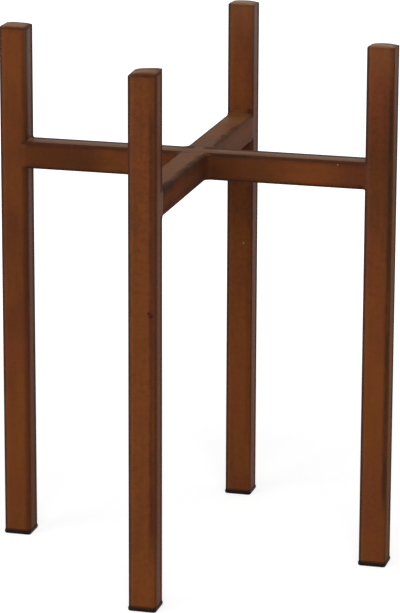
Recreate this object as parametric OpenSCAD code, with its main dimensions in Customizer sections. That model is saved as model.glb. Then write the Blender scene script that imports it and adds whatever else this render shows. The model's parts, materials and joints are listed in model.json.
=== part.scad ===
// Plant stand of square steel tube: four legs stand at the ends of a level cross,
// and the pot sits on the cross between the four leg tops.
// X runs from left to right, Y from front to back, Z up.
// The origin lies on the floor, under the middle of the cross.

/* [Stand] */
// Height of the top of the cross above the floor
shelf_h = 305.5; // [150:0.5:600]
// Height of the leg tops above the cross
leg_rise = 85.5; // [30:0.5:200]
// Clear gap between opposite legs, which takes the pot
pot_gap = 255; // [120:1:400]

/* [Tube] */
// Width of the square tube
tube_w = 20; // [16:1:40]
// Wall of the tube
tube_wall = 1.2; // [1:0.1:2]
// Radius inside the corners of the tube
bend_r = 0.8; // [0.6:0.1:1.5]

/* [Welds] */
// Reach of the weld at a leg, along the bar and along the leg
leg_bead = 1.2; // [0.8:0.1:3]
// Reach of the weld in the corners of the cross, along both bars
cross_bead = 4.5; // [2:0.1:8]
// Depth of the hollow in the face of a bead, as a share of its reach
bead_hollow = 0.2; // [0.05:0.01:0.25]

/* [Caps] */
// Thickness of the plate that closes the top of a leg
cap_t = 3.5; // [3:0.1:6]
// Radius of the upper rim of a cap
cap_rim_r = 2.6; // [0.5:0.1:2.8]
// Rise of a cap from its corners to its middle
cap_crown = 2; // [0.5:0.1:2.4]

/* [Feet] */
// Thickness of the head of a foot, between the tube and the floor
head_h = 2.8; // [2.6:0.1:6]
// How far the head stands out past the sides of the tube
head_lip = 0.5; // [0.2:0.1:1]
// Radius of the lower rim of the head
head_rim_r = 1.2; // [0.5:0.1:1.5]
// Length of the hollow stem inside the tube
stem_h = 14; // [8:0.5:30]
// Wall of the stem
stem_wall = 1.5; // [1:0.1:2.5]
// Space between the stem and the bore of the tube
stem_gap = 0.9; // [0.5:0.1:1.5]
// Thickness of a grip fin on the stem
fin_t = 0.8; // [0.4:0.1:1.2]
// Distance from one fin to the next
fin_pitch = 3.4; // [2:0.1:6]
// Clearance between a fin and the bore of the tube
fin_gap = 0.1; // [0.05:0.05:0.4]

/* [Hidden] */
$fn = 64;
// The crown of a cap is a small patch of a large sphere, which takes finer steps
CROWN_FN = 360;
// Cuts run this far past the solid that they open
OVERRUN = 1;

// The legs in order round the stand, anticlockwise as seen from above, from +X on
SIDES = ["right", "back", "left", "front"];
function turn_to(side) = search([side], SIDES)[0] * 360 / len(SIDES);

stand_h = shelf_h + leg_rise;
tube_r = bend_r + tube_wall;
bore_w = tube_w - 2 * tube_wall;
leg_axis = (pot_gap + tube_w) / 2;
cross_z = shelf_h - tube_w / 2;
// A weld holds the last stretch of the bar, as long as the weld at a leg reaches
melted = leg_bead;
cross_l = pot_gap - 2 * melted;
half_l = (pot_gap - tube_w) / 2 - 2 * melted;

cap_reach = tube_w / sqrt(2);
crown_r = (pow(cap_reach, 2) + pow(cap_crown, 2)) / (2 * cap_crown);

head_w = tube_w + 2 * head_lip;
stem_w = bore_w - 2 * stem_gap;
fin_w = bore_w - 2 * fin_gap;
fin_count = floor((stem_h - fin_t) / fin_pitch);

COPPER_BROWN = [0.41, 0.22, 0.11];
WELD_BROWN = [0.31, 0.16, 0.09];
BLACK = [0.06, 0.06, 0.06];

// ---- Shapes that the sub-parts share ----

// Square with rounded corners, about the origin
module round_square(w, r) {
    square([w, w - 2 * r], center = true);
    square([w - 2 * r, w], center = true);
    for (x = [-1, 1], y = [-1, 1])
        translate([x, y] * (w / 2 - r)) circle(r = r);
}

// Section through the wall of the tube
module tube_section() {
    difference() {
        round_square(tube_w, tube_r);
        round_square(bore_w, bend_r);
    }
}

// Half section of a slab's rim, from the line of the corner centres out to the side.
// lower and upper are the radii of its two edges, and 0 leaves an edge sharp.
module rim_section(reach, h, lower, upper) {
    translate([0, lower]) square([reach, h - lower - upper]);
    if (lower > 0) {
        square([reach - lower, lower]);
        translate([reach - lower, lower]) intersection() {
            circle(r = lower);
            translate([0, -lower]) square(lower);
        }
    }
    if (upper > 0) {
        translate([0, h - upper]) square([reach - upper, upper]);
        translate([reach - upper, h - upper]) intersection() {
            circle(r = upper);
            square(upper);
        }
    }
}

// Square slab with rounded corners and eased edges, standing on the plane z = 0
module eased_slab(w, r, h, lower, upper) {
    c = w / 2 - r;
    translate([-c, -c, 0]) cube([2 * c, 2 * c, h]);
    for (turn = [0:90:270]) rotate(turn) translate([c, c, 0]) {
        rotate([90, 0, 0]) linear_extrude(2 * c) rim_section(r, h, lower, upper);
        rotate_extrude(angle = 90) rim_section(r, h, lower, upper);
    }
}

// ---- Sub-parts ----

// Upright of square tube, between its foot and its cap
module leg(side) {
    color(COPPER_BROWN) rotate(turn_to(side)) translate([leg_axis, 0, head_h])
        linear_extrude(stand_h - head_h - cap_t) tube_section();
}

// The long bar of the cross, which joins the left and right legs
module cross_tube() {
    color(COPPER_BROWN) translate([0, 0, cross_z]) rotate([0, 90, 0])
        linear_extrude(cross_l, center = true) tube_section();
}

// One of the two short bars, from the middle of the long bar to its leg
module half_tube(side) {
    color(COPPER_BROWN) rotate(turn_to(side)) translate([tube_w / 2 + melted, 0, cross_z])
        rotate([0, 90, 0]) linear_extrude(half_l) tube_section();
}

// Side view of a cap, with its two upper corners rounded over
module cap_side() {
    c = tube_w / 2 - cap_rim_r;
    translate([-tube_w / 2, 0]) square([tube_w, cap_t - cap_rim_r]);
    translate([-c, 0]) square([2 * c, cap_t]);
    for (x = [-c, c]) translate([x, cap_t - cap_rim_r]) circle(r = cap_rim_r);
}

// Block whose side view is that of a cap, and whose width is a little more than the tube's
module cap_block() {
    rotate([90, 0, 0]) linear_extrude(tube_w + 2 * OVERRUN, center = true)
        intersection() {
            cap_side();
            translate([-tube_w / 2 - OVERRUN, 0]) square([tube_w + 2 * OVERRUN, cap_t]);
        }
}

// Steel plate welded on the top of a leg and ground to a soft, crowned rim
module cap(side) {
    color(COPPER_BROWN) rotate(turn_to(side)) translate([leg_axis, 0, stand_h - cap_t])
        intersection() {
            linear_extrude(cap_t) round_square(tube_w, tube_r);
            cap_block();
            rotate(90) cap_block();
            translate([0, 0, cap_t - crown_r]) sphere(r = crown_r, $fn = CROWN_FN);
        }
}

// Plastic end plug: a rounded head under the tube, and a hollow stem with grip fins inside it
module foot(side) {
    color(BLACK) rotate(turn_to(side)) translate([leg_axis, 0, 0]) {
        eased_slab(head_w, tube_r + head_lip, head_h, head_rim_r, head_lip);
        translate([0, 0, head_h]) difference() {
            union() {
                eased_slab(stem_w, tube_r, stem_h, 0, stem_wall / 2);
                for (i = [1:fin_count])
                    translate([0, 0, i * fin_pitch - fin_t])
                        linear_extrude(fin_t) round_square(fin_w, bend_r);
            }
            linear_extrude(stem_h + OVERRUN) round_square(stem_w - 2 * stem_wall, bend_r);
        }
    }
}

// Section of the metal laid round the end of a bar. The bar leaves along +X from a tube
// whose side is the line x = 0. A bead with a hollow face fills the corner above the bar
// and the one below, and tapers away round the rounded corners of the tube and the bar.
module bead_section(bead) {
    flush = tube_w / 2;
    hollow = bead_hollow * bead;
    face_r = (pow(bead, 2) / 2 + pow(hollow, 2)) / (2 * hollow);
    // Both coordinates of the centre of a hollow face, from the corner that its bead fills
    face_c = bead / 2 + (face_r - hollow) / sqrt(2);
    above = [
        [0, flush - tube_r], [bead, flush], [bead, flush + bead],
        [0, flush + bead], [-tube_r, flush]
    ];
    below = [for (i = [len(above) - 1:-1:0]) [above[i].x, -above[i].y]];
    difference() {
        polygon(concat(above, below));
        for (up = [-1, 1])
            translate([face_c, up * (flush + face_c)]) circle(r = face_r);
    }
}

// Weld at the end of a bar: the end of its wall, melted through, and the metal laid round
// it, ground flush on the two sides where the bar and the tube are flush
module weld_metal(bead) {
    rotate([0, 90, 0]) linear_extrude(melted) tube_section();
    difference() {
        rotate([90, 0, 0]) linear_extrude(tube_w, center = true) bead_section(bead);
        translate([-tube_w / 2, 0, 0])
            linear_extrude(tube_w + 2 * (bead + OVERRUN), center = true)
            round_square(tube_w, tube_r);
        rotate([0, 90, 0]) linear_extrude(bead + OVERRUN) round_square(tube_w, tube_r);
    }
}

// Weld between a leg and the bar that it carries
module leg_weld(side) {
    color(WELD_BROWN) rotate(turn_to(side)) translate([pot_gap / 2, 0, cross_z])
        mirror([1, 0, 0]) weld_metal(leg_bead);
}

// Weld between the long bar and one short bar
module cross_weld(side) {
    color(WELD_BROWN) rotate(turn_to(side)) translate([tube_w / 2, 0, cross_z])
        rotate([90, 0, 0]) weld_metal(cross_bead);
}

leg("left");  // leg_left
leg("right");  // leg_right
leg("front");  // leg_front
leg("back");  // leg_back
cross_tube();
half_tube("front");  // half_tube_front
half_tube("back");  // half_tube_back
cap("left");  // cap_left
cap("right");  // cap_right
cap("front");  // cap_front
cap("back");  // cap_back
foot("left");  // foot_left
foot("right");  // foot_right
foot("front");  // foot_front
foot("back");  // foot_back
leg_weld("left");  // weld_left
leg_weld("right");  // weld_right
leg_weld("front");  // weld_front
leg_weld("back");  // weld_back
cross_weld("front");  // weld_cross_front
cross_weld("back");  // weld_cross_back
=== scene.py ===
"""Plant stand of square steel tube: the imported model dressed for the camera."""

import json
import math

import bmesh
import bpy
from mathutils import Matrix, Vector, noise

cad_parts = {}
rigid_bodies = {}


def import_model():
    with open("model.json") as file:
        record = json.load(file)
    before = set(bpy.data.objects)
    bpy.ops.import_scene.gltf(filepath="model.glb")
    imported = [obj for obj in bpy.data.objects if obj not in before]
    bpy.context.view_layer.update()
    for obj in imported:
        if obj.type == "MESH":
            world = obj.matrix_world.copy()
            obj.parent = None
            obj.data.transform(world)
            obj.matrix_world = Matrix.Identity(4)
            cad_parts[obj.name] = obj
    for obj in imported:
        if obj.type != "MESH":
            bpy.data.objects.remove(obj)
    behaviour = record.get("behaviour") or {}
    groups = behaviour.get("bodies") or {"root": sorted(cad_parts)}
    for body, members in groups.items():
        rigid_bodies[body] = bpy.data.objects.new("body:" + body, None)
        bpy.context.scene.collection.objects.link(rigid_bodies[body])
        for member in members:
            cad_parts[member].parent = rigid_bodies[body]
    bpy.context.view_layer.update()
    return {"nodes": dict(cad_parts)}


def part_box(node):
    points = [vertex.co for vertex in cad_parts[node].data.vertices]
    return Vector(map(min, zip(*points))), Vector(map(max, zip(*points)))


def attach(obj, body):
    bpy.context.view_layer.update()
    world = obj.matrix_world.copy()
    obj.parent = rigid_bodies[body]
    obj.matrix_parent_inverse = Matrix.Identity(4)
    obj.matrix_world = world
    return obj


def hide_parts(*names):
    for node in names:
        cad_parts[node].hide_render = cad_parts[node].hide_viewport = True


for leftover in list(bpy.data.objects):
    bpy.data.objects.remove(leftover)

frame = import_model()
NODES = frame["nodes"]

MM = 0.001

TUBE_LOW, TUBE_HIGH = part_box("half_tube_back")
TUBE_HALF = (TUBE_HIGH.x - TUBE_LOW.x) / 2
BAR_Z = (TUBE_HIGH.z + TUBE_LOW.z) / 2
LEG_LOW, LEG_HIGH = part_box("leg_right")
LEG_AXIS = (LEG_LOW.x + LEG_HIGH.x) / 2
LEG_INNER = LEG_LOW.x
CAP_LOW, CAP_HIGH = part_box("cap_right")
# Radius of the tube's outer corners
TUBE_R = 2.0 * MM
UP = Vector((0, 0, 1))
OUTWARD = {
    "right": Vector((1, 0, 0)),
    "back": Vector((0, 1, 0)),
    "left": Vector((-1, 0, 0)),
    "front": Vector((0, -1, 0)),
}


# ---- Camera ----

CAMERA_PLACE = (0.61902, -2.31255, 0.83973)
CAMERA_YAW = 0.26036
CAMERA_PITCH = -0.266237
CAMERA_ROLL = 0.003479
CAMERA_LENS = 197.305
CAMERA_NEAREST = 0.05
CAMERA_FURTHEST = 60
SENSOR = 36.0


def make_camera():
    """A long lens in front of the stand, a little to the right and above it."""
    data = bpy.data.cameras.new("camera")
    data.sensor_fit = "AUTO"
    data.sensor_width = SENSOR
    data.lens = CAMERA_LENS
    data.clip_start = CAMERA_NEAREST
    data.clip_end = CAMERA_FURTHEST
    camera = bpy.data.objects.new("camera", data)
    bpy.context.scene.collection.objects.link(camera)
    turn = Matrix.Rotation(CAMERA_YAW, 4, "Z")
    turn = turn @ Matrix.Rotation(math.pi / 2 + CAMERA_PITCH, 4, "X")
    turn = turn @ Matrix.Rotation(CAMERA_ROLL, 4, "Z")
    camera.matrix_world = Matrix.Translation(CAMERA_PLACE) @ turn
    bpy.context.scene.camera = camera


# ---- Shader expressions ----

# Sockets of a Mix node go by number, because its kinds share their names
MIX_FACTOR = 0
MIX_LOW = 2
MIX_HIGH = 3
MIX_LOW_COLOUR = 6
MIX_HIGH_COLOUR = 7
MIX_COLOUR_OUT = 2


class Field:
    """A socket of a material's node tree. Arithmetic on it adds the nodes."""

    def __init__(self, tree, socket=None):
        self.tree = tree
        self.socket = socket

    def node(self, kind, settings=None, sockets=None, out=0):
        """A new node: its settings first, then the values or links of its sockets."""
        made = self.tree.nodes.new("ShaderNode" + kind)
        for name, value in (settings or {}).items():
            setattr(made, name, value)
        for name, value in (sockets or {}).items():
            if isinstance(value, Field):
                self.tree.links.new(value.socket, made.inputs[name])
            else:
                made.inputs[name].default_value = value
        return Field(self.tree, made.outputs[out] if made.outputs else None)

    def math(self, operation, *values):
        return self.node("Math", {"operation": operation}, dict(enumerate(values)))

    def __add__(self, other):
        return self.math("ADD", self, other)

    __radd__ = __add__

    def __sub__(self, other):
        return self.math("SUBTRACT", self, other)

    def __rsub__(self, other):
        return self.math("SUBTRACT", other, self)

    def __neg__(self):
        return 0 - self

    def __mul__(self, other):
        return self.math("MULTIPLY", self, other)

    __rmul__ = __mul__

    def __abs__(self):
        return self.math("ABSOLUTE", self)

    def root(self):
        return self.math("SQRT", self)

    def least(self, other):
        return self.math("MINIMUM", self, other)

    def most(self, other):
        return self.math("MAXIMUM", self, other)

    def above(self, limit):
        return self.math("GREATER_THAN", self, limit)

    def rise(self, start, end):
        """0 up to start, 1 from end on, and a smooth step between them."""
        sockets = {"Value": self, "From Min": start, "From Max": end}
        return self.node("MapRange", {"interpolation_type": "SMOOTHSTEP"}, sockets)

    def band(self, low, high, soft):
        """1 between low and high, and 0 from soft outside them."""
        return self.rise(low - soft, low) * (1 - self.rise(high, high + soft))

    def blend(self, low, high):
        """The number low where the field is 0, and high where it is 1."""
        sockets = {MIX_FACTOR: self, MIX_LOW: low, MIX_HIGH: high}
        return self.node("Mix", {"data_type": "FLOAT"}, sockets)

    def weaker(self, share):
        """1 where the field is 0, and this share where it is 1."""
        return self.blend(1, share)

    def tint(self, low, high):
        """The colour low where the field is 0, and high where it is 1."""
        sockets = {MIX_FACTOR: self, MIX_LOW_COLOUR: low, MIX_HIGH_COLOUR: high}
        return self.node("Mix", {"data_type": "RGBA"}, sockets, out=MIX_COLOUR_OUT)

    def parts(self):
        """The x, y and z of a vector."""
        return [self.node("SeparateXYZ", {}, {0: self}, out=axis) for axis in "XYZ"]

    def stretched(self, scale):
        """A place vector scaled along each axis."""
        return self.node("VectorMath", {"operation": "MULTIPLY"}, {0: self, 1: scale})

    def away_from(self, centre):
        """Distance of a place from this centre."""
        return self.node("VectorMath", {"operation": "DISTANCE"}, {0: self, 1: centre}, out="Value")

    def noise(self, scale, detail=2, roughness=0.5):
        sockets = {"Vector": self, "Scale": scale, "Detail": detail, "Roughness": roughness}
        return self.node("TexNoise", {}, sockets)


def new_material(name):
    """An empty material, and its node tree to write expressions in."""
    material = bpy.data.materials.new(name)
    material.use_nodes = True
    material.node_tree.nodes.clear()
    return material, Field(material.node_tree)


def finish_material(tree, surface):
    tree.node("OutputMaterial", {}, {"Surface": surface})


def srgb(red, green, blue):
    """A colour as it shows on a screen, 0 to 255, turned into the shader's linear one."""
    def line(value):
        value /= 255
        return value / 12.92 if value <= 0.04045 else ((value + 0.055) / 1.055) ** 2.4
    return (line(red), line(green), line(blue), 1.0)


# ---- Colours and places of the finish ----

AMBER_BROWN = srgb(111, 61, 27)
RED_BROWN = srgb(111, 56, 31)
DULL_BROWN = srgb(84, 47, 26)
OLIVE_BROWN = srgb(98, 64, 24)
# Glaze colours, also used for painted shade and shadow
GLAZE_AND_SHADE_BROWN = srgb(62, 35, 23)
GLAZE_AND_SHADE_BLACK = srgb(44, 33, 24)
SOOT_GREY = srgb(50, 41, 32)
# Light colours of dust, also used as painted sheen
DUST_AND_SHEEN_BROWN = srgb(150, 119, 96)
DUST_AND_SHEEN_GREY = srgb(126, 104, 92)
ORANGE_BROWN = srgb(126, 69, 26)
# Dark brown of the glaze and of the painted shade in the corners and by the joints
DARK_BROWN = srgb(62, 32, 15)
TAN_BROWN = srgb(126, 78, 50)
BARE_METAL_AND_GLINT = srgb(176, 138, 96)
SCAR_AND_SHADOW_RED = srgb(58, 20, 9)
PLASTIC_BLACK = srgb(12, 8, 5)
SCUFFED_BLACK = srgb(28, 22, 17)

# Places darkened by a joint, by glaze gathered there and by painted shade from the bars and legs:
# where, how far it reaches and how deep
GLAZE_AND_SHADE_BY_JOINTS = (
    ((-0.100, -0.010, 0.296), 0.062, 0.50),
    ((0.020, -0.010, 0.290), 0.076, 0.74),
    ((0.133, -0.010, 0.308), 0.060, 0.52),
    ((0.126, -0.010, 0.294), 0.030, 0.50),
    ((-0.137, -0.010, 0.230), 0.110, 0.20),
    ((0.000, 0.127, 0.266), 0.080, 0.41),
)
# Places painted lighter: where, how far they reach and how much lighter. Those low on the legs are
# painted bounce light from the floor.
LIGHT_AND_BOUNCE_SPOTS = (
    ((0.1415, -0.010, 0.130), 0.125, 0.50),
    ((-0.1375, -0.010, 0.365), 0.080, 0.22),
    ((-0.1375, -0.010, 0.080), 0.110, 0.28),
    ((0.0000, -0.1475, 0.130), 0.180, 0.22),
    ((0.0000, 0.1275, 0.120), 0.160, 0.44),
    ((0.0000, 0.1275, 0.195), 0.045, 0.45),
    ((0.0880, -0.010, 0.295), 0.038, 0.40),
    ((0.0000, -0.1475, 0.022), 0.055, 0.40),
    ((0.1375, -0.010, 0.018), 0.055, 0.26),
    ((-0.1375, -0.010, 0.283), 0.036, 0.22),
)
# A painted golden glint on the front rim of the front cap
GOLDEN_GLINTS = (((0.006, -0.1465, 0.390), 0.006, 0.60),)
# Small marks in the paint: where, and how wide
CHIPS_AND_GLINT = (
    ((0.0035, 0.1275, 0.2045), 1.0 * MM),
    ((0.1077, -0.010, 0.3030), 0.75 * MM),
    # This chip on the right cap's rim is bare metal with a painted highlight on it
    ((0.1445, -0.006, 0.3910), 1.8 * MM),
)
# The dark mark right of the back leg's joint with its bar is painted shadow there.
DARK_MARKS_AND_SHADOW = (
    ((0.0056, -0.1475, 0.2206), 2.3 * MM),
    ((0.0069, -0.1475, 0.2188), 2.5 * MM),
    ((0.0080, 0.1265, 0.3085), 3.6 * MM),
    ((-0.0097, 0.1266, 0.3088), 3.0 * MM),
    ((0.1245, -0.0100, 0.2872), 2.4 * MM),
)

# Noise patterns in the paint: scale along x, y and z per metre, detail, roughness, and the
# values of the noise between which the pattern goes from 0 to 1
PATCHES_UP = ((60, 60, 26), 3, 0.55, (0.36, 0.66))
PATCHES_OUT = ((34, 34, 70), 3, 0.55, (0.36, 0.66))
DULL_PATCHES = ((48, 48, 30), 4, 0.6, (0.44, 0.76))
BRUSHED_UP = ((260, 260, 20), 3, 0.6, (0.45, 0.7))
BRUSHED_OUT = ((20, 20, 260), 3, 0.6, (0.45, 0.7))
BREAKS = ((70, 70, 16), 5, 0.7, (0.3, 0.72))
BLOTS = ((30, 80, 30), 2, 0.5, (0.40, 0.60))
SOOT = ((60, 60, 160), 5, 0.7, (0.34, 0.62))
DASHES = ((90, 90, 42), 4, 0.65, (0.34, 0.56))
SMEARS = ((120, 95, 120), 4, 0.65, (0.36, 0.62))
# Scale per metre, detail and roughness of the flecks, and the values drawn out to 0 and 1
FLECKS = (300, 3, 0.65)
FLECK_VALUES = (0.42, 0.72)
# Depth of the dull patches, the brush marks and the flecks, and what the legs add to the flecks
DULL_DEPTH = 0.55
BRUSHED_DEPTH = 0.3
FLECK_DEPTH = 0.36
LEG_FLECK_DEPTH = 0.2
# What the back leg adds to them at its ends and half-way up
BACK_FLECK_DEPTH = (-0.1, 0.35)
# Slow wanderings of a line: scale per metre, and reach
EDGE_WANDER = (110, 1.2 * MM)
LONG_EDGE_WANDER = (30, 1.0 * MM)
CREASE_WANDER = (150, 0.8 * MM)
MARK_WANDER_SCALE = 900
SPOT_WANDER = (45, 30 * MM)
LEG_CORNER_WANDER = (120, 3 * MM)
CROSS_CORNER_WANDER = (90, 4 * MM)
LOWER_END_WANDER = (150, 0.6 * MM)
SMEAR_WANDER = (80, 3 * MM)
CHIP_RAGGED = 0.6 * MM
DARK_MARK_RAGGED = 1.2 * MM
# Where a mark or a spot starts to fade, as a share of its width or reach
MARK_CORE = 0.3
SPOT_CORE = -0.1

# How far a normal is turned to a side, or upwards, where a face begins and is full
FACES_SIDE = (0.6, 0.8)
FACES_UP = (0.35, 0.7)
# How far inside its leg a point still counts as on it: for a tube, and for one leg's finish
TUBE_SLACK = 0.2 * MM
LEG_SLACK = 0.5 * MM
# How much higher the crease under the cap lies on each leg than on the front one
CREASE_RAISED = {"left": 0.8 * MM, "back": 0.9 * MM, "right": 0.7 * MM}
# How much nearer to the front the glaze of a cap's back rim begins than on the other caps
FAR_RIM_NEARER = {"right": 4.5 * MM, "front": 2.0 * MM}
# Depth of the dust and painted sheen on the caps, and what two of them add to it
CAP_DUST_AND_SHEEN = 0.45
MORE_CAP_DUST_AND_SHEEN = {"right": 0.28, "back": 0.30}

# Spans in metres over which a mask goes from 0 to 1. A band has three numbers: where it
# begins and ends, and how softly.
# Heights:
FOOT_END = (0.030, 0.065)
LEFT_FOOT = (0.04, 0.20)
MID_LEG = (0.12, 0.27, 0.04)
BELOW_JOINT = (0.22, 0.27)
AT_JOINT = (0.30, 0.34)
RIGHT_SIDE_JOINT = (0.29, 0.32)
SIDE_TOP_SHEEN = (0.318, 0.378)
TOP_END = (0.345, 0.375)
TOP_SHEEN = (0.355, 0.391)
LOWER_END = (3.6 * MM, 4.8 * MM)
# Along the bars, from the middle of the cross:
LEFT_BAR_END = (0.062, 0.082)
RIGHT_TOP_WEAR = (0.04, 0.09)
ARMS = (9 * MM, 20 * MM)
UPPER_BLACK_LINE = (18 * MM, 38 * MM, 7 * MM)
LOWER_BLACK_LINE = (11 * MM, 24 * MM, 5 * MM)
BACK_TOP_CROSS = (34 * MM, 56 * MM)
BACK_TOP_LEG = (100 * MM, 114 * MM, 12 * MM)
SMEAR_CROSS = (-38 * MM, -16 * MM)
SMEAR_LEG = (84 * MM, 108 * MM)
SMEAR_START = (11 * MM, 22 * MM)
BACK_SMEAR = (38 * MM, 78 * MM, 16 * MM)
# Across a tube or a cap, from its axis:
BESIDE_BAR = (7.5 * MM, 9.5 * MM)
LONG_BAR_SIDES = (9.5 * MM, 10.5 * MM)
LONG_BAR_BACK = (10.1 * MM, 10.6 * MM)
BACK_PART = (0, 4 * MM)
RIGHT_TOP_BACK = (-8 * MM, -3 * MM)
LONG_TOP_BACK = (-7 * MM, 3 * MM)
CAP_RIM = (6.5 * MM, 9.5 * MM)
CAP_FRONT = (4.0 * MM, 7.5 * MM)
CAP_BACK = (-1.0 * MM, 4.0 * MM)
OUTLINE = (7.3 * MM, 8.5 * MM)
WIDE_OUTLINE = (1.5 * MM, 5.5 * MM)
BACK_BAR_LEFT_RIM = (6.4 * MM, 8.6 * MM)
UPPER_FACE = 5 * MM
RIGHT_LEG_BAND = (2.0 * MM, 6.5 * MM)
BAND_WIDTH = 3.0 * MM
RIGHT_BAND_SHIFT = 0.6 * MM
TURNED_END = 9.0 * MM
SOOTY_EDGE = (5.0 * MM, 9.0 * MM)
CREASE_RIM = (7.0 * MM, 9.0 * MM)
DEEP_SPOT_ALONG = (1.5 * MM, 6 * MM, 3 * MM)
CORNER_LINE_WIDTH = 1.5 * MM
CORNER_LINE_SOFT = 1.0 * MM
CORNER_SHEEN = (6.8 * MM, 8.0 * MM, 2.0 * MM)
INNER_SIDE = (5 * MM, 8 * MM)
NOTCH = (8.6 * MM, 9.8 * MM, 0.8 * MM)
SMEAR_RISE = 1.8 * MM
FRONT_SMEAR_ACROSS = (7.2 * MM, 10.5 * MM, 2.6 * MM)
BACK_SMEAR_ACROSS = (7.0 * MM, 10.5 * MM, 2.4 * MM)
FAINT_LINE_ACROSS = (8.6 * MM, 10.5 * MM, 1.0 * MM)
BLACK_LINE_FRONT = (8.0 * MM, 9.3 * MM)
BLACK_LINE_TOP = (7.5 * MM, 8.7 * MM)
BLACK_LINE_BOTTOM = (7.4 * MM, 9.2 * MM)
# Starts and ends that differ: first the plain one, then that of the legs or the place named
# where it is used
BAND_START = (5.6 * MM, 4.4 * MM)
TURNED_START = (1.0 * MM, 4.5 * MM)
CORNER_LINE_START = (5.8 * MM, 8.0 * MM)
SMEAR_START_UP = (7.0 * MM, 5.0 * MM)
CREASE_END = (2.3 * MM, 2.9 * MM)
# Away from the corner line of a joint, where glaze and painted shade darken it:
LEG_CORNER_REACH = (0.5 * MM, 5 * MM)
CROSS_CORNER_REACH = (0.5 * MM, 9 * MM)
# Below the top of a leg:
SEAM = (1.6 * MM, 2.6 * MM, 0.7 * MM)
DEEP_SPOT = (2.0 * MM, 3.3 * MM, 0.8 * MM)
SHADE = (1.2 * MM, 2.2 * MM)
SHADE_END = (2.5 * MM, 6.5 * MM)
CREASE_START = 1.5 * MM
CREASE_SOFT = 0.9 * MM
# Diagonally from the left front to the right back of the stand:
CREASE_FADES = (0.02, 0.13)


# ---- Where a point lies on the stand ----


class TubeMap:
    """Where a point of the painted steel lies on its tube, as fields.

    Lengths are in metres. A field that names a place is 1 there and 0 elsewhere.
    """

    def __init__(self, tree):
        self.place = tree.node("TexCoord", out="Object")
        self.x, self.y, self.z = self.place.parts()
        self.note_tubes()
        self.note_sides()
        self.note_corners()
        self.note_faces(tree.node("TexCoord", out="Normal"))
        self.note_cap()
        self.note_patterns()

    def note_tubes(self):
        """Which kind of tube this is, and how far the point lies from its axis."""
        self.outward = abs(self.x).most(abs(self.y))
        self.across = abs(self.x).least(abs(self.y))
        self.from_axis = self.outward - LEG_AXIS
        self.above_bar = self.z - BAR_Z
        self.on_leg = self.outward.above(LEG_INNER - TUBE_SLACK)
        self.on_bar = 1 - self.on_leg

    def note_sides(self):
        """Which leg or half bar this is: each side of the real stand came out its own way."""
        near_leg = LEG_INNER - LEG_SLACK
        self.on_right_leg = self.x.above(LEG_INNER)
        self.on_back_leg = self.y.above(near_leg)
        self.on_front_leg = (-self.y).above(near_leg)
        self.not_left = (self.x + LEG_AXIS).above(TUBE_HALF)
        self.right_or_back = (self.x + self.y).above(LEG_INNER / 2)
        self.back_half = self.y.above(TUBE_HALF) * self.on_bar
        self.front_half = (-self.y).above(TUBE_HALF) * self.on_bar
        self.near_foot = (1 - self.z.rise(*FOOT_END)) * self.not_left
        self.near_top = self.z.rise(*TOP_END)

    def note_corners(self):
        """How near the point lies to a corner of its tube, and which corner that is."""
        leg_edge = self.across.least(abs(self.from_axis))
        bar_edge = self.across.least(abs(self.above_bar))
        # Distance from the tube's axis towards its nearest corner, a little uneven
        edge = self.on_leg.blend(bar_edge, leg_edge)
        self.edge = edge + self.wander(*EDGE_WANDER) + self.wander(*LONG_EDGE_WANDER)
        # Which pair of a leg's corners: the front left and back right, or the other two
        self.outer_pair = (self.x * self.y * self.from_axis).above(0)
        # Where the inner side of a leg is covered by its bar, and has no open corner
        beside_bar = 1 - abs(self.above_bar).rise(*BESIDE_BAR)
        at_joint = beside_bar * (-self.from_axis).above(0) * self.on_leg
        self.open_corner = 1 - at_joint
        self.inner_pair = (1 - self.outer_pair) * self.on_leg * self.open_corner

    def note_faces(self, normal):
        """Which way the surface looks."""
        facing_x, facing_y, facing_z = normal.parts()
        self.on_side = abs(facing_x).rise(*FACES_SIDE)
        self.on_front = abs(facing_y).rise(*FACES_SIDE)
        self.on_top = facing_z.rise(*FACES_UP)
        on_long_bar = 1 - abs(self.y).rise(*LONG_BAR_SIDES)
        self.on_bar_top = self.on_top * self.on_bar
        self.on_long_top = self.on_bar_top * on_long_bar

    def note_cap(self):
        """Where the point lies on a cap, and how far below the top of its leg."""
        self.on_cap = self.on_top * self.on_leg
        self.rim = self.across.most(abs(self.from_axis))
        self.cap_y = self.y + self.on_front_leg * LEG_AXIS - self.on_back_leg * LEG_AXIS
        raised = (1 - self.not_left) * CREASE_RAISED["left"]
        raised = raised + self.on_back_leg * CREASE_RAISED["back"]
        raised = raised + self.on_right_leg * CREASE_RAISED["right"]
        self.below_top = CAP_HIGH.z + raised - self.z + self.wander(*CREASE_WANDER)

    def note_patterns(self):
        """Patterns that more than one layer of the paint shares."""
        self.flecks = self.place.noise(*FLECKS)
        self.breaks = self.pattern(BREAKS)
        self.blots = self.pattern(BLOTS)
        self.dashes = self.pattern(DASHES)

    def pattern(self, kind):
        """One of the noise patterns listed above."""
        scales, detail, roughness, values = kind
        return self.place.stretched(scales).noise(1, detail, roughness).rise(*values)

    def wander(self, scale, reach):
        """A slow noise to either side of zero, in metres."""
        return (self.place.noise(scale, 3) - 0.5) * reach

    def marks(self, places, ragged):
        """1 inside the small marks at these places, whose outlines are ragged."""
        found = None
        for centre, width in places:
            away = self.place.away_from(centre) + self.wander(MARK_WANDER_SCALE, ragged)
            mark = 1 - away.rise(MARK_CORE * width, width)
            found = mark if found is None else found.most(mark)
        return found

    def spots(self, places):
        """The depth of the deepest of these soft spots, whose outlines are uneven."""
        deepest = None
        for centre, reach, depth in places:
            away = self.place.away_from(centre) + self.wander(*SPOT_WANDER)
            spot = (1 - away.rise(SPOT_CORE * reach, reach)) * depth
            deepest = spot if deepest is None else deepest.most(spot)
        return deepest


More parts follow.
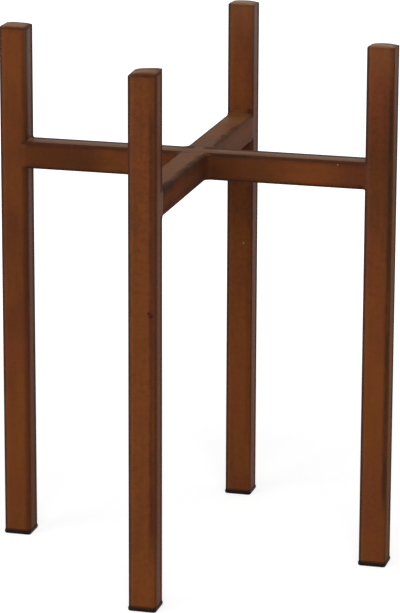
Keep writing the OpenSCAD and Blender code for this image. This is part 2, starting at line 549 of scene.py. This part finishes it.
def to_line(first, second):
    """Distance from a line, given the offsets from it in two directions."""
    return (first * first + second * second).root()


# ---- Layers of the paint: the base colour, and a mask for each layer on it ----


def base_coat(tube):
    """The paint under the glaze: patches and brush marks drawn out along each tube, and flecks.

    The front leg is yellower, and the back one more flecked half-way up.
    """
    patches = tube.on_leg.blend(tube.pattern(PATCHES_OUT), tube.pattern(PATCHES_UP))
    colour = (patches * tube.on_front_leg.weaker(0.5)).tint(AMBER_BROWN, RED_BROWN)
    colour = (tube.pattern(DULL_PATCHES) * DULL_DEPTH).tint(colour, DULL_BROWN)
    brushed = tube.on_leg.blend(tube.pattern(BRUSHED_OUT), tube.pattern(BRUSHED_UP))
    colour = (brushed * BRUSHED_DEPTH).tint(colour, DULL_BROWN)
    leg_flecks = tube.on_leg * tube.not_left * LEG_FLECK_DEPTH
    back_flecks = tube.on_back_leg * tube.z.band(*MID_LEG).blend(*BACK_FLECK_DEPTH)
    fleck_depth = leg_flecks + back_flecks + FLECK_DEPTH
    return (tube.flecks.rise(*FLECK_VALUES) * fleck_depth).tint(colour, DULL_BROWN)


def glaze_and_shade_in_corners(tube):
    """Dark glaze in the corners and round the joints, together with the painted shade that falls in
    these corners and by the joints.
    """
    leg_corner = to_line(tube.outward - LEG_INNER, abs(tube.above_bar) - TUBE_HALF)
    by_leg = 1 - (leg_corner + tube.wander(*LEG_CORNER_WANDER)).rise(*LEG_CORNER_REACH)
    by_leg = by_leg * 0.5 * tube.on_top.weaker(0.5)
    bar_corner = to_line(tube.outward - TUBE_HALF, tube.across - TUBE_HALF)
    cross_corner_dark = 1 - (bar_corner + tube.wander(*CROSS_CORNER_WANDER)).rise(*CROSS_CORNER_REACH)
    cross_corner_dark = cross_corner_dark * 0.75 * (1 - tube.on_top)
    spots = tube.spots(GLAZE_AND_SHADE_BY_JOINTS) * tube.on_top.weaker(0.3)
    return by_leg.most(cross_corner_dark).most(spots)


def sheen_on_leg_tops(tube):
    """Painted sheen on the upper ends of the right and back legs, which are lighter."""
    return tube.z.rise(*TOP_SHEEN) * tube.right_or_back


def shaded_left_end_of_bar(tube):
    """Painted shade on the front of the long bar near the left leg, which is browner there."""
    return (-tube.x).rise(*LEFT_BAR_END) * tube.on_bar * tube.on_front


def sheen_on_leg_sides(tube):
    """Painted sheen on the upper ends of the left and back legs' sides, which are lighter and
    greyer.
    """
    return tube.z.rise(*SIDE_TOP_SHEEN) * tube.on_side * (tube.y - tube.x).above(0)


def back_top_by_cross(tube):
    """The top of the back half bar next to the cross, which is darker."""
    return (1 - tube.y.rise(*BACK_TOP_CROSS)) * tube.back_half * tube.on_top


def sheen_on_back_top_by_leg(tube):
    """Painted sheen on the top of the back half bar near its leg, which is lighter."""
    return tube.y.band(*BACK_TOP_LEG) * tube.back_half * tube.on_top


def worn_right_top(tube):
    """The back of the long bar's top on the right, which is worn."""
    worn = tube.x.rise(*RIGHT_TOP_WEAR) * tube.y.rise(*RIGHT_TOP_BACK)
    return tube.on_long_top * worn


def off_cross(tube):
    """1 along the arms of the long bar, and less in the middle of the cross."""
    return abs(tube.x).rise(*ARMS).blend(0.3, 1)


def dust_and_sheen_on_long_top(tube):
    """The back of the long bar's top, where the dust lies, with painted sheen on it."""
    return tube.on_long_top * tube.y.rise(*LONG_TOP_BACK) * off_cross(tube)


def dust_and_sheen_on_caps(tube):
    """Dust on the caps, with their painted sheen, lighter towards the back. It is rubbed off the
    rims, and it is less on the front of the front cap, where the sheen falls off.
    """
    more = tube.on_right_leg * MORE_CAP_DUST_AND_SHEEN["right"] + tube.on_back_leg * MORE_CAP_DUST_AND_SHEEN["back"]
    rubbed = tube.rim.rise(*CAP_RIM) * 0.6
    less_in_front = (-tube.cap_y).rise(*CAP_FRONT) * tube.on_front_leg * 0.95
    return tube.on_cap * (more + CAP_DUST_AND_SHEEN) * (1 - rubbed.most(less_in_front))


def far_rims(tube):
    """The back rims of the caps, where the glaze stays."""
    right = tube.on_right_leg * FAR_RIM_NEARER["right"]
    front = tube.on_front_leg * FAR_RIM_NEARER["front"]
    return (tube.cap_y + right + front).rise(*CAP_BACK) * tube.on_cap


def outlined_corners(tube):
    """Glaze along the outer corners of the legs and the corners of the bars."""
    outline = tube.edge.rise(*OUTLINE)
    long_bar_back = tube.y.rise(*BACK_PART) * (1 - abs(tube.y).rise(*LONG_BAR_BACK))
    seen_flat = tube.on_side.most(tube.on_top * long_bar_back)
    outline = outline.most(tube.edge.rise(*WIDE_OUTLINE) * seen_flat)
    outline = outline * tube.back_half.weaker(0.25)
    outline = outline * tube.front_half.weaker(0.35 + tube.blots * 0.4)
    left_rim = (-tube.x).rise(*BACK_BAR_LEFT_RIM) * tube.above_bar.above(UPPER_FACE)
    outline = outline.most(left_rim * tube.back_half * 0.6)
    return outline * tube.outer_pair.most(tube.on_bar) * tube.open_corner


def banded_corners(tube):
    """The broader band of glaze beside the inner corners, on the fronts of the legs."""
    start = tube.not_left.blend(*BAND_START) + tube.on_right_leg * RIGHT_BAND_SHIFT
    band = tube.edge.rise(start, start + BAND_WIDTH)
    by_joint = tube.z.rise(*BELOW_JOINT) * tube.z.rise(*AT_JOINT).weaker(0.6)
    wider = tube.edge.rise(*RIGHT_LEG_BAND) * tube.breaks * tube.on_right_leg * by_joint
    depth = tube.breaks.blend(0.5, 0.85) * tube.on_back_leg.weaker(0.40)
    depth = depth * tube.near_foot.weaker(0.15) * tube.near_top.weaker(0.55)
    return band.most(wider) * tube.on_front * tube.inner_pair * depth


def turned_corners(tube):
    """The same band where it turns round the corner, onto the sides of the legs."""
    start = tube.right_or_back.blend(*TURNED_START)
    band = tube.edge.rise(start, TURNED_END) * tube.on_side * tube.inner_pair
    return band * tube.near_foot.weaker(0.5)


def sooty_bar_edges(tube):
    """Soot along the upper and lower edges of the bars' fronts."""
    by_edge = abs(tube.above_bar).rise(*SOOTY_EDGE)
    return by_edge * tube.on_front * tube.on_bar * tube.pattern(SOOT)


def cap_creases(tube):
    """The dark crease under each cap and the shade below it, fainter to the right and back."""
    end = tube.on_front_leg.blend(*CREASE_END)
    crease = tube.below_top.band(CREASE_START, end, CREASE_SOFT) * tube.rim.rise(*CREASE_RIM)
    shade = tube.below_top.rise(*SHADE) * (1 - tube.below_top.rise(*SHADE_END))
    fainter = (tube.x + tube.y).rise(*CREASE_FADES).weaker(0.25)
    return crease.most(shade * tube.on_front * 0.4) * tube.on_leg * fainter


def crease_deep_spot(tube):
    """The deepest spot of the front leg's crease."""
    along = tube.x.band(*DEEP_SPOT_ALONG)
    return tube.below_top.band(*DEEP_SPOT) * tube.on_front_leg * along


def right_leg_side(tube):
    """The narrow side of the right leg, yellower and duller below its joint."""
    return tube.on_right_leg * tube.on_side * tube.z.rise(*RIGHT_SIDE_JOINT).weaker(0.35)


def black_corner_lines(tube):
    """Broken black lines beside the inner corners of the front and right legs."""
    start = tube.on_right_leg.blend(*CORNER_LINE_START)
    line = tube.edge.band(start, start + CORNER_LINE_WIDTH, CORNER_LINE_SOFT) * tube.on_front
    line = line * tube.inner_pair * tube.on_right_leg.blend(0.28, 0.6)
    line = line * tube.not_left * (1 - tube.on_back_leg)
    return line * (1 - tube.near_foot) * (1 - tube.near_top) * tube.dashes


def sheen_beside_corners(tube):
    """Painted sheen beside the outer corners of the legs."""
    beside = tube.edge.band(*CORNER_SHEEN)
    return beside * tube.on_front * tube.outer_pair * tube.on_leg


def lower_ends(tube):
    """The lower end of each leg, over its plug, which is darker."""
    return 1 - (tube.z + tube.wander(*LOWER_END_WANDER)).rise(*LOWER_END)


def seams(tube):
    """The seam under each cap, and the notch over the left leg's joint."""
    seam = tube.below_top.band(*SEAM) * tube.on_front * tube.breaks
    seam = seam * tube.on_right_leg.weaker(0.3)
    inner_side = (-tube.from_axis).rise(*INNER_SIDE)
    notch = tube.above_bar.band(*NOTCH) * inner_side
    notch = notch * (-tube.x).above(0) * tube.on_leg
    return (seam * 0.6).most(notch * 0.8)


def half_bar_smears(tube):
    """Black smears along the right upper edges of the front and back half bars."""
    smear = tube.pattern(SMEARS)
    beside = tube.x + tube.wander(*SMEAR_WANDER)
    by_front_leg = (-tube.y).rise(*SMEAR_LEG)
    start = by_front_leg.blend(*SMEAR_START_UP)
    upper = tube.above_bar.rise(start, start + SMEAR_RISE) * tube.on_bar
    upper = upper * abs(tube.y).rise(*SMEAR_START)

    streak = smear.blend(0.5, 1).most(by_front_leg * 0.9)
    depth = tube.blots.blend(0.55, 0.85).most(by_front_leg * 0.8)
    depth = depth * tube.y.rise(*SMEAR_CROSS).weaker(0.7)
    front = beside.band(*FRONT_SMEAR_ACROSS) * streak * depth * tube.front_half

    faint = beside.band(*FAINT_LINE_ACROSS) * 0.4
    back = beside.band(*BACK_SMEAR_ACROSS) * tube.y.band(*BACK_SMEAR) * smear.blend(0.25, 0.7)
    return upper * front.most(faint.most(back) * tube.back_half)


def black_line_and_shadow_on_bar(tube):
    """The black line along the long bar's front above, and the painted shadow along it below,
    beside the cross.
    """
    upper = (-tube.y).rise(*BLACK_LINE_FRONT) * tube.above_bar.rise(*BLACK_LINE_TOP)
    upper = upper * tube.x.band(*UPPER_BLACK_LINE)
    lower = (-tube.above_bar).rise(*BLACK_LINE_BOTTOM) * tube.on_front
    lower = lower * tube.x.band(*LOWER_BLACK_LINE) * tube.dashes.blend(0.6, 1)
    return upper.most(lower) * tube.on_bar


# ---- Materials ----

PAINT_ROUGHNESS = 0.54
PAINT_SPECULAR = 0.048
# How much the flecks and the dull places add to the paint's roughness
FLECK_ROUGHNESS = 0.14
DULL_ROUGHNESS = 0.36
# What the sides of the legs get on the left, and how much more on the right
SIDE_ROUGHNESS_LEFT = -0.07
SIDE_ROUGHNESS_GAIN = 0.10
# Scales per metre of the paint's fine grain and of its dimples, and the grain's share
PAINT_GRAIN = 900
PAINT_DIMPLES = 320
GRAIN_SHARE = 0.3
PAINT_BUMP = {"Strength": 0.12, "Distance": 0.2 * MM}
PLASTIC_ROUGHNESS = 0.5
SCUFF_ROUGHNESS = 0.12
PLASTIC_SPECULAR = 0.1
PLASTIC_SCUFFS = (140, 4, 0.6)
SCUFF_VALUES = (0.45, 0.8)
PLASTIC_GRAIN = 1600
PLASTIC_BUMP = {"Strength": 0.15, "Distance": 0.1 * MM}


def paint_layers(tube, glaze_and_shade_lines, smears):
    """What lies over the base coat, in order: where, how deep, and of what colour."""
    return (
        (tube.spots(LIGHT_AND_BOUNCE_SPOTS), 1, ORANGE_BROWN),
        (glaze_and_shade_in_corners(tube), 1, DARK_BROWN),
        (sheen_on_leg_tops(tube), 0.35, TAN_BROWN),
        (shaded_left_end_of_bar(tube), 0.30, DARK_BROWN),
        (sheen_on_leg_sides(tube), 0.46, DUST_AND_SHEEN_GREY),
        (tube.back_half * tube.on_side, 0.30, ORANGE_BROWN),
        (back_top_by_cross(tube), 0.45, GLAZE_AND_SHADE_BROWN),
        (sheen_on_back_top_by_leg(tube), 0.25, DUST_AND_SHEEN_BROWN),
        (tube.on_bar_top, 0.45, OLIVE_BROWN),
        (worn_right_top(tube), 0.35, TAN_BROWN),
        (dust_and_sheen_on_long_top(tube), 0.55, DUST_AND_SHEEN_GREY),
        (tube.on_long_top * (1 - off_cross(tube)), 0.22, GLAZE_AND_SHADE_BROWN),
        (dust_and_sheen_on_caps(tube), 1, DUST_AND_SHEEN_BROWN),
        (far_rims(tube), 0.50, GLAZE_AND_SHADE_BROWN),
        (tube.spots(GOLDEN_GLINTS) * tube.on_top, 1, OLIVE_BROWN),
        (glaze_and_shade_lines, 0.85, GLAZE_AND_SHADE_BROWN),
        (crease_deep_spot(tube), 0.40, GLAZE_AND_SHADE_BLACK),
        (right_leg_side(tube), 0.30, OLIVE_BROWN),
        (black_corner_lines(tube), 1, GLAZE_AND_SHADE_BLACK),
        (sheen_beside_corners(tube), 0.07, DUST_AND_SHEEN_GREY),
        (lower_ends(tube), 0.80, GLAZE_AND_SHADE_BLACK),
        (seams(tube), 1, GLAZE_AND_SHADE_BROWN),
        (smears, 1, SOOT_GREY),
        (black_line_and_shadow_on_bar(tube), 0.85, GLAZE_AND_SHADE_BLACK),
        (tube.marks(DARK_MARKS_AND_SHADOW, DARK_MARK_RAGGED), 0.80, SCAR_AND_SHADOW_RED),
        (tube.marks(CHIPS_AND_GLINT, CHIP_RAGGED), 0.60, BARE_METAL_AND_GLINT),
    )


def paint_roughness(tube, glaze_and_shade_lines, smears):
    """Satin, and duller where the paint is smeared, glazed or near the left foot."""
    bar_sides = tube.front_half * 0.8 + tube.back_half * 0.3
    dull = (smears * 0.8).most(bar_sides * tube.on_side).most(glaze_and_shade_lines * 0.5)
    dull = dull.most(turned_corners(tube) * 0.9) + right_leg_side(tube) * 0.14
    left_foot = (1 - tube.z.rise(*LEFT_FOOT)) * (1 - tube.not_left)
    dull = dull.most(left_foot * 0.35)
    sides = tube.x.rise(-LEG_AXIS, LEG_AXIS) * SIDE_ROUGHNESS_GAIN + SIDE_ROUGHNESS_LEFT
    flecked = (tube.flecks - 0.5) * FLECK_ROUGHNESS
    return PAINT_ROUGHNESS + flecked + dull * DULL_ROUGHNESS + sides * tube.on_side


def antique_paint():
    """Satin copper-brown paint with a dark glaze that is rubbed off the faces, and with painted
    shade and sheen in places.
    """
    material, tree = new_material("antique_paint")
    tube = TubeMap(tree)
    glaze_and_shade_lines = outlined_corners(tube).most(banded_corners(tube))
    glaze_and_shade_lines = glaze_and_shade_lines.most(turned_corners(tube) * 0.5)
    glaze_and_shade_lines = glaze_and_shade_lines.most(sooty_bar_edges(tube) * 0.8)
    # The creases and the painted shade under the caps go in with the glaze lines
    glaze_and_shade_lines = glaze_and_shade_lines.most(cap_creases(tube) * 0.8)
    smears = half_bar_smears(tube)
    colour = base_coat(tube)
    for where, depth, finish in paint_layers(tube, glaze_and_shade_lines, smears):
        colour = (where * depth).tint(colour, finish)

    height = tube.place.noise(PAINT_GRAIN) * GRAIN_SHARE
    height = height + tube.place.noise(PAINT_DIMPLES) * (1 - GRAIN_SHARE)
    bump = tree.node("Bump", {}, {**PAINT_BUMP, "Height": height})
    surface = tree.node("BsdfPrincipled", {}, {
        "Base Color": colour,
        "Roughness": paint_roughness(tube, glaze_and_shade_lines, smears),
        "Specular IOR Level": PAINT_SPECULAR,
        "Normal": bump,
    })
    finish_material(tree, surface)
    return material


def black_plastic():
    """Moulded black plastic with a fine grain."""
    material, tree = new_material("black_plastic")
    place = tree.node("TexCoord", out="Object")
    scuff = place.noise(*PLASTIC_SCUFFS).rise(*SCUFF_VALUES)
    bump = tree.node("Bump", {}, {**PLASTIC_BUMP, "Height": place.noise(PLASTIC_GRAIN)})
    surface = tree.node("BsdfPrincipled", {}, {
        "Base Color": scuff.tint(PLASTIC_BLACK, SCUFFED_BLACK),
        "Roughness": PLASTIC_ROUGHNESS + scuff * SCUFF_ROUGHNESS,
        "Specular IOR Level": PLASTIC_SPECULAR,
        "Normal": bump,
    })
    finish_material(tree, surface)
    return material


# ---- Pieces ----

SHARP_ANGLE = math.radians(32)
# Points closer than this are one
MERGE_REACH = 0.001 * MM


def mesh_piece(name, shape, finish):
    """An object from a finished bmesh, shaded smooth but for its sharp edges."""
    mesh = bpy.data.meshes.new(name)
    shape.to_mesh(mesh)
    shape.free()
    mesh.materials.append(finish)
    mesh.shade_smooth()
    mesh.set_sharp_from_angle(angle=SHARP_ANGLE)
    piece = bpy.data.objects.new(name, mesh)
    bpy.context.scene.collection.objects.link(piece)
    return piece


def join_rings(shape, rings):
    """Faces between each ring of points and the next."""
    count = len(rings[0])
    for low, high in zip(rings, rings[1:]):
        for i in range(count):
            j = (i + 1) % count
            shape.faces.new((low[i], low[j], high[j], high[i]))


# ---- Welds ----

# Reach of the metal laid in the corners, at each leg and in the middle of the cross
LEG_BEADS = {"right": 0.8 * MM, "back": 3.2 * MM, "left": 1.2 * MM, "front": 2.8 * MM}
CROSS_BEAD = 4.5 * MM
# Last stretch of a bar, which is melted into its weld
MELTED = 1.2 * MM
# Depth of a bead's hollow face and of the waves in it, as shares of its reach
BEAD_HOLLOW = 0.2
BEAD_WAVE = 0.04
# Waves along a bead, per metre
WAVE_SCALE = 400
ROUND_STEPS = 8
FLAT_STEPS = 4
BEAD_STEPS = 10
# The cross's beads come after the legs' in the noise that gives the waves
CROSS_SEED = 7


def fall_back(level):
    """How far the side of a tube has curved away at this distance from its middle line."""
    past = max(abs(level) - (TUBE_HALF - TUBE_R), 0)
    return TUBE_R - math.sqrt(max(TUBE_R ** 2 - past ** 2, 0))


def weld_levels():
    """Levels from one flush face to the other, closer together round the corners."""
    flat = TUBE_HALF - TUBE_R
    round_off = [flat + TUBE_R * math.sin(math.pi / 2 * i / ROUND_STEPS)
                 for i in range(ROUND_STEPS + 1)]
    middle = [flat * i / FLAT_STEPS for i in range(1 - FLAT_STEPS, FLAT_STEPS)]
    return [-level for level in reversed(round_off)] + middle + round_off


def bead_face(reach, back, ripple):
    """Points on the hollow face of one bead, from the carrying tube out to the bar."""
    points = []
    for i in range(BEAD_STEPS + 1):
        share = i / BEAD_STEPS
        sink = BEAD_HOLLOW * reach * 4 * share * (1 - share) + ripple * math.sin(math.pi * share)
        along = reach * share - back - sink / math.sqrt(2)
        beside = TUBE_HALF - back + reach * (1 - share) - sink / math.sqrt(2)
        points.append((along, beside))
    return points


def weld_slice(reach, level, ripple):
    """Outline of a weld at one level: along the bar, and to either side of it."""
    back = fall_back(level)
    upper = bead_face(reach, back, ripple) + [(MELTED, TUBE_HALF - back)]
    return upper + [(along, -beside) for along, beside in reversed(upper)]


def weld(name, node_name, reach, place, seed):
    """One weld, as slices from flush face to flush face of the two tubes.

    place gives the point on the carrying tube's side, and the directions of the bar,
    of the beads beside it and of the levels.
    """
    shape = bmesh.new()
    origin, along_bar, beside_bar, through = (Vector(v) for v in place)
    rings = []
    for level in weld_levels():
        wave = noise.noise(Vector((level * WAVE_SCALE, seed, 0)))
        ring = []
        for along, beside in weld_slice(reach, level, wave * BEAD_WAVE * reach):
            spot = origin + along_bar * along + beside_bar * beside + through * level
            ring.append(shape.verts.new(spot))
        rings.append(ring)
    join_rings(shape, rings)
    ends = [shape.faces.new(rings[0]), shape.faces.new(rings[-1])]
    bmesh.ops.triangulate(shape, faces=ends)
    bmesh.ops.remove_doubles(shape, verts=shape.verts, dist=MERGE_REACH)
    bmesh.ops.recalc_face_normals(shape, faces=shape.faces)
    piece = mesh_piece(name, shape, PAINT)
    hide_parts(node_name)
    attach(piece, "root")


def make_welds():
    """A weld where each bar meets its leg, and where each short bar meets the long one."""
    for seed, (side, out) in enumerate(OUTWARD.items()):
        foot = out * LEG_INNER + UP * BAR_Z
        weld("weld_metal_" + side, "weld_" + side, LEG_BEADS[side],
             (foot, -out, UP, out.cross(UP)), seed)
    for seed, side in enumerate(("front", "back")):
        out = OUTWARD[side]
        foot = out * TUBE_HALF + UP * BAR_Z
        weld("weld_metal_cross_" + side, "weld_cross_" + side, CROSS_BEAD,
             (foot, out, out.cross(UP), UP), seed + CROSS_SEED)


# ---- Caps ----

CAP_CROWN = 2.0 * MM
# Least height of a cap's side
CAP_LEAST = 0.2 * MM
# Height of the hollows and bumps left by the grinding, and their number per metre
CAP_UNEVEN = 0.12 * MM
CAP_UNEVEN_SCALE = 160
CAP_SEED_STEP = 3.7
# How fast the corners' radius grows inwards, and its largest share of a ring's half width
CORNER_GROWTH = 0.8
CORNER_SHARE = 0.8
RIM_STEPS = 10
TOP_STEPS = 6
CORNER_STEPS = 8

# How each cap came out: its highest place from its middle, how far that lies above the
# plan, and the radii in mm of its rim on the right, at the back, on the left and in front
CAP_FORMS = {
    "right": (Vector((0, -3.5)) * MM, 0.3 * MM, (1.4, 1.8, 2.6, 1.8)),
    "back": (Vector((-1.0, -2.5)) * MM, 1.0 * MM, (1.4, 1.8, 2.6, 2.3)),
    "left": (Vector((-1.0, 0)) * MM, 1.1 * MM, (2.2, 2.4, 2.8, 2.6)),
    "front": (Vector((4.0, 3.0)) * MM, 0.3 * MM, (1.2, 1.8, 3.3, 2.7)),
}


def rounded_square(half, radius):
    """Points round a square with rounded corners, about the origin."""
    points = []
    reach = (half - radius) * math.sqrt(2)
    for turn in range(4):
        corner = math.pi / 2 * turn + math.pi / 4
        for i in range(CORNER_STEPS + 1):
            angle = math.pi / 2 * (turn + i / CORNER_STEPS)
            points.append((reach * math.cos(corner) + radius * math.cos(angle),
                           reach * math.sin(corner) + radius * math.sin(angle)))
    return points


def worn_round(drops):
    """One drop from several, with a soft passage from the one that rules to the next."""
    return sum(drop ** 3 for drop in drops) ** (1 / 3)


def rim_drop(radius, inset):
    """How far a rim of this radius has curved down at this distance in from its side."""
    outside = max(radius - max(inset, 0), 0)
    return radius - math.sqrt(radius ** 2 - outside ** 2)


def cap_height(side, x, y, seed, unevenness):
    """Height of a cap over its underside, at a place measured from its middle."""
    highest, raised, radii = CAP_FORMS[side]
    crown_r = (2 * TUBE_HALF ** 2 + CAP_CROWN ** 2) / (2 * CAP_CROWN)
    drops = [rim_drop(radius_mm * MM, TUBE_HALF - x * out.x - y * out.y)
             for radius_mm, out in zip(radii, OUTWARD.values())]
    from_highest = (Vector((x, y)) - highest).length
    drops.append(from_highest ** 2 / (2 * crown_r))
    spot = Vector((x * CAP_UNEVEN_SCALE, y * CAP_UNEVEN_SCALE, seed * CAP_SEED_STEP))
    uneven = noise.noise(spot) * CAP_UNEVEN
    height = CAP_HIGH.z - CAP_LOW.z + raised - worn_round(drops) + uneven * unevenness
    return max(height, CAP_LEAST)


def cap(side, seed):
    """Plate on the top of a leg: its rim ground round by hand, and a low crown."""
    rim = max(CAP_FORMS[side][2]) * MM
    centre = OUTWARD[side] * LEG_AXIS
    insets = [rim * (1 - math.cos(math.pi / 2 * i / RIM_STEPS)) for i in range(RIM_STEPS + 1)]
    insets += [rim + (TUBE_HALF - rim) * i / TOP_STEPS for i in range(1, TOP_STEPS)]
    shape = bmesh.new()
    rings = []
    for level, inset in enumerate([0.0] + insets):
        half = TUBE_HALF - inset
        radius = min(TUBE_R + CORNER_GROWTH * inset, half * CORNER_SHARE)
        ring = []
        for x, y in rounded_square(half, radius):
            z = cap_height(side, x, y, seed, min(inset / rim, 1)) if level > 0 else 0.0
            ring.append(shape.verts.new((centre.x + x, centre.y + y, CAP_LOW.z + z)))
        rings.append(ring)
    join_rings(shape, rings)
    shape.faces.new(rings[0])
    shape.faces.new(rings[-1])
    bmesh.ops.recalc_face_normals(shape, faces=shape.faces)
    piece = mesh_piece("cap_plate_" + side, shape, PAINT)
    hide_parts("cap_" + side)
    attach(piece, "root")


# ---- Stage and light ----

FLOOR_GREY = (0.5, 0.5, 0.5, 1)
FLOOR_HALF = 30
# The floor's own light near the stand, and how much more it gives from the second distance on
FLOOR_LIFT = 0.68
FLOOR_LIFT_FAR = 0.32
FLOOR_NEAR = (0.2, 1.0)
SKY_WHITE = (1, 1, 1, 1)
SKY_LIGHT = 0.35
LAMP_SIZE = 2.0
LAMP_AIM = (0, 0, 0.2)
# Where each lamp stands, and its watts
LAMPS = {
    "key": ((0.64, -2.7, 2.1), 58),
    "fill": ((-1.7, -2.0, 2.0), 22),
    "top": ((0, 0.3, 3.2), 6),
}


def seen_white(tree):
    """1 for what the camera sees straight, mirrored or through glass, and 0 for light."""
    seen = None
    for output in ("Is Camera Ray", "Is Glossy Ray", "Is Transmission Ray"):
        ray = tree.node("LightPath", out=output)
        seen = ray if seen is None else seen.most(ray)
    return seen


def floor_finish():
    """White ground that still takes the stand's shadow, a little lighter further off."""
    material, tree = new_material("white_floor")
    paper = tree.node("BsdfDiffuse", {}, {"Color": FLOOR_GREY})
    place = tree.node("TexCoord", out="Object")
    away = place.node("VectorMath", {"operation": "LENGTH"}, {0: place}, out="Value")
    strength = FLOOR_LIFT + away.rise(*FLOOR_NEAR) * FLOOR_LIFT_FAR
    lift = tree.node("Emission", {}, {"Strength": seen_white(tree) * strength})
    finish_material(tree, tree.node("AddShader", {}, {0: paper, 1: lift}))
    return material


def make_floor():
    """One wide level ground under the stand."""
    mesh = bpy.data.meshes.new("floor")
    shape = bmesh.new()
    bmesh.ops.create_grid(shape, x_segments=1, y_segments=1, size=FLOOR_HALF)
    shape.to_mesh(mesh)
    shape.free()
    mesh.materials.append(floor_finish())
    floor = bpy.data.objects.new("floor", mesh)
    bpy.context.scene.collection.objects.link(floor)


def make_sky():
    """A sky that shows white, and lights the stand more weakly than it shows."""
    world = bpy.data.worlds.new("studio")
    bpy.context.scene.world = world
    world.use_nodes = True
    world.node_tree.nodes.clear()
    tree = Field(world.node_tree)
    strength = seen_white(tree).blend(SKY_LIGHT, 1.0)
    air = tree.node("Background", {}, {"Color": SKY_WHITE, "Strength": strength})
    tree.node("OutputWorld", {}, {"Surface": air})


def make_lamps():
    """Large soft lamps, two on the camera's side and one above."""
    for name, (place, watts) in LAMPS.items():
        data = bpy.data.lights.new(name, "AREA")
        data.shape = "SQUARE"
        data.size = LAMP_SIZE
        data.energy = watts
        lamp = bpy.data.objects.new(name, data)
        bpy.context.scene.collection.objects.link(lamp)
        aim = (Vector(LAMP_AIM) - Vector(place)).to_track_quat("-Z", "Y")
        lamp.matrix_world = Matrix.Translation(place) @ aim.to_matrix().to_4x4()


make_camera()
PAINT = antique_paint()
PLASTIC = black_plastic()
for node_name, node in NODES.items():
    finish = PLASTIC if node_name.startswith("foot_") else PAINT
    for slot in node.material_slots:
        slot.material = finish
make_welds()
for cap_seed, cap_side in enumerate(OUTWARD):
    cap(cap_side, cap_seed)
make_floor()
make_sky()
make_lamps()
bpy.context.scene.view_settings.view_transform = "Standard"
